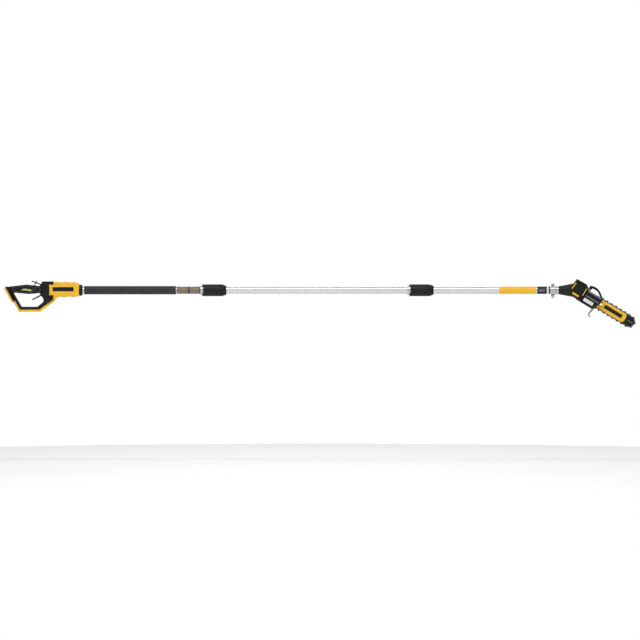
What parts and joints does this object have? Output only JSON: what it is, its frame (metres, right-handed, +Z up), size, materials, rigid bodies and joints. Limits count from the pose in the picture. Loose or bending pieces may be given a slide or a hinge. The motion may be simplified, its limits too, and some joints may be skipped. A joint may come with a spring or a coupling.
{
  "type": "pole saw",
  "caption": "Sectional cordless pole saw: D-loop rear handle, long grip, plug-in pole sections with screw sleeves, angled saw head with guide bar and chain.",
  "frame": {"origin": "on the pole's axis, at the middle of the fore grip", "axes": "+X along the pole towards the saw, +Z up away from the guard of the rear handle, +Y to the far side, where the sprocket cover is"},
  "size_m": [3.095, 0.0735, 0.2412],
  "materials": {
    "black_plastic": "satin",
    "grey_plastic": "satin",
    "yellow_plastic": "satin",
    "grip_rubber": "matte",
    "accent_plastic": "satin",
    "anodised_tube": "satin",
    "cast_aluminium": "satin",
    "gear_casting": "cast",
    "plated_steel": "bright",
    "bar_paint": "satin",
    "chain_steel": "oiled",
    "motor_iron": "matt",
    "contact_brass": "bright",
    "band_black": "gloss",
    "wire_jacket": "matte",
    "tank_plastic": "translucent"
  },
  "bodies": {
    "handle": {"handle_tube": "anodised_tube", "rear_shell_right": "black_plastic", "rear_shell_left": "black_plastic", "battery_foot": "black_plastic", "guard_trim": "yellow_plastic", "front_housing_right": "yellow_plastic", "front_housing_left": "yellow_plastic", "terminal_block": "black_plastic", "battery_contacts": "contact_brass", "switch_module": "grey_plastic", "controller": "grey_plastic", "grip_inlays": "accent_plastic", "front_collar": "black_plastic", "fore_grip": "grip_rubber", "handle_screws": "plated_steel", "lever_pins": "plated_steel", "trigger_spring": "plated_steel", "lock_lever_spring": "plated_steel", "loom_handle": "wire_jacket", "thread_collar_1": "cast_aluminium"},
    "trigger": {"trigger": "black_plastic"},
    "lock_lever": {"lock_lever": "black_plastic"},
    "extension": {"extension_tube": "anodised_tube", "plug_1": "grey_plastic", "loom_extension": "wire_jacket", "thread_collar_2": "cast_aluminium"},
    "thrust_ring_1": {"thrust_ring_1": "plated_steel"},
    "coupler_sleeve_1": {"coupler_sleeve_1": "black_plastic"},
    "saw_head": {"head_tube": "anodised_tube", "plug_2": "grey_plastic", "loom_head": "wire_jacket", "yellow_band": "yellow_plastic", "black_band": "band_black", "neck_casting": "cast_aluminium", "hanger_clamp": "cast_aluminium", "neck_boot": "black_plastic", "motor_case_right": "black_plastic", "motor_case_left": "black_plastic", "ribbed_cover": "grey_plastic", "gear_plate": "gear_casting", "sprocket_cover": "black_plastic", "guard_bow": "black_plastic", "branch_hook": "plated_steel", "oil_tank": "tank_plastic", "stator": "motor_iron", "bearings": "plated_steel", "guide_bar": "bar_paint", "saw_chain": "chain_steel", "bar_bolts": "plated_steel", "head_screws": "plated_steel", "accent_bars": "yellow_plastic"},
    "thrust_ring_2": {"thrust_ring_2": "plated_steel"},
    "coupler_sleeve_2": {"coupler_sleeve_2": "black_plastic"},
    "rotor": {"rotor_core": "motor_iron", "motor_shaft": "plated_steel"},
    "drive_sprocket": {"drive_gear": "plated_steel", "drive_sprocket": "chain_steel"},
    "nose_sprocket": {"nose_sprocket": "plated_steel"},
    "oil_cap": {"oil_cap": "black_plastic"},
    "tension_screw": {"tension_screw": "plated_steel"}
  },
  "joints": [
    {"name": "trigger_pull", "type": "hinge", "parent": "handle", "child": "trigger", "pos_m": [-0.425, 0, -0.017], "axis": [0, 1, 0], "range_deg": [0, 15], "stiffness_Nm_per_rad": 0.5, "springref_deg": -11.46},
    {"name": "lock_lever_press", "type": "hinge", "parent": "handle", "child": "lock_lever", "pos_m": [-0.437, 0, 0.012], "axis": [0, -1, 0], "range_deg": [0, 12], "stiffness_Nm_per_rad": 0.4, "springref_deg": -14.32},
    {"name": "section_pull_1", "type": "slide", "parent": "handle", "child": "extension", "axis": [1, 0, 0], "range_m": [0, 0.09]},
    {"name": "ring_travel_1", "type": "slide", "parent": "extension", "child": "thrust_ring_1", "axis": [1, 0, 0], "range_m": [0, 0.022]},
    {"name": "sleeve_turn_1", "type": "hinge", "parent": "thrust_ring_1", "child": "coupler_sleeve_1", "pos_m": [0.412, 0, 0], "axis": [1, 0, 0], "range_deg": [0, 330]},
    {"name": "section_pull_2", "type": "slide", "parent": "extension", "child": "saw_head", "axis": [1, 0, 0], "range_m": [0, 0.09]},
    {"name": "ring_travel_2", "type": "slide", "parent": "saw_head", "child": "thrust_ring_2", "axis": [1, 0, 0], "range_m": [0, 0.022]},
    {"name": "sleeve_turn_2", "type": "hinge", "parent": "thrust_ring_2", "child": "coupler_sleeve_2", "pos_m": [1.427, 0, 0], "axis": [1, 0, 0], "range_deg": [0, 330]},
    {"name": "motor_spin", "type": "hinge", "parent": "saw_head", "child": "rotor", "pos_m": [2.20747, -0.02, -0.00926], "axis": [0, 1, 0], "continuous": true, "deforming": ["saw_chain"]},
    {"name": "sprocket_spin", "type": "hinge", "parent": "saw_head", "child": "drive_sprocket", "pos_m": [2.2319, 0, -0.02394], "axis": [0, 1, 0], "continuous": true},
    {"name": "nose_spin", "type": "hinge", "parent": "saw_head", "child": "nose_sprocket", "pos_m": [2.44636, 0.0125, -0.1528], "axis": [0, 1, 0], "continuous": true},
    {"name": "oil_cap_turn", "type": "hinge", "parent": "saw_head", "child": "oil_cap", "pos_m": [2.25662, -0.017, 0.01138], "axis": [0.515, 0, 0.8572], "range_deg": [0, 90]},
    {"name": "tension_screw_turn", "type": "hinge", "parent": "saw_head", "child": "tension_screw", "pos_m": [2.31025, -0.006, -0.05468], "axis": [0.8572, 0, -0.515], "continuous": true}
  ],
  "couplings": [
    {"joint": "ring_travel_1", "follows": "sleeve_turn_1", "m_per_rad": 0.0038197},
    {"joint": "ring_travel_2", "follows": "sleeve_turn_2", "m_per_rad": 0.0038197},
    {"joint": "sprocket_spin", "follows": "motor_spin", "ratio": -0.5},
    {"joint": "nose_spin", "follows": "motor_spin", "ratio": -0.30769}
  ]
}
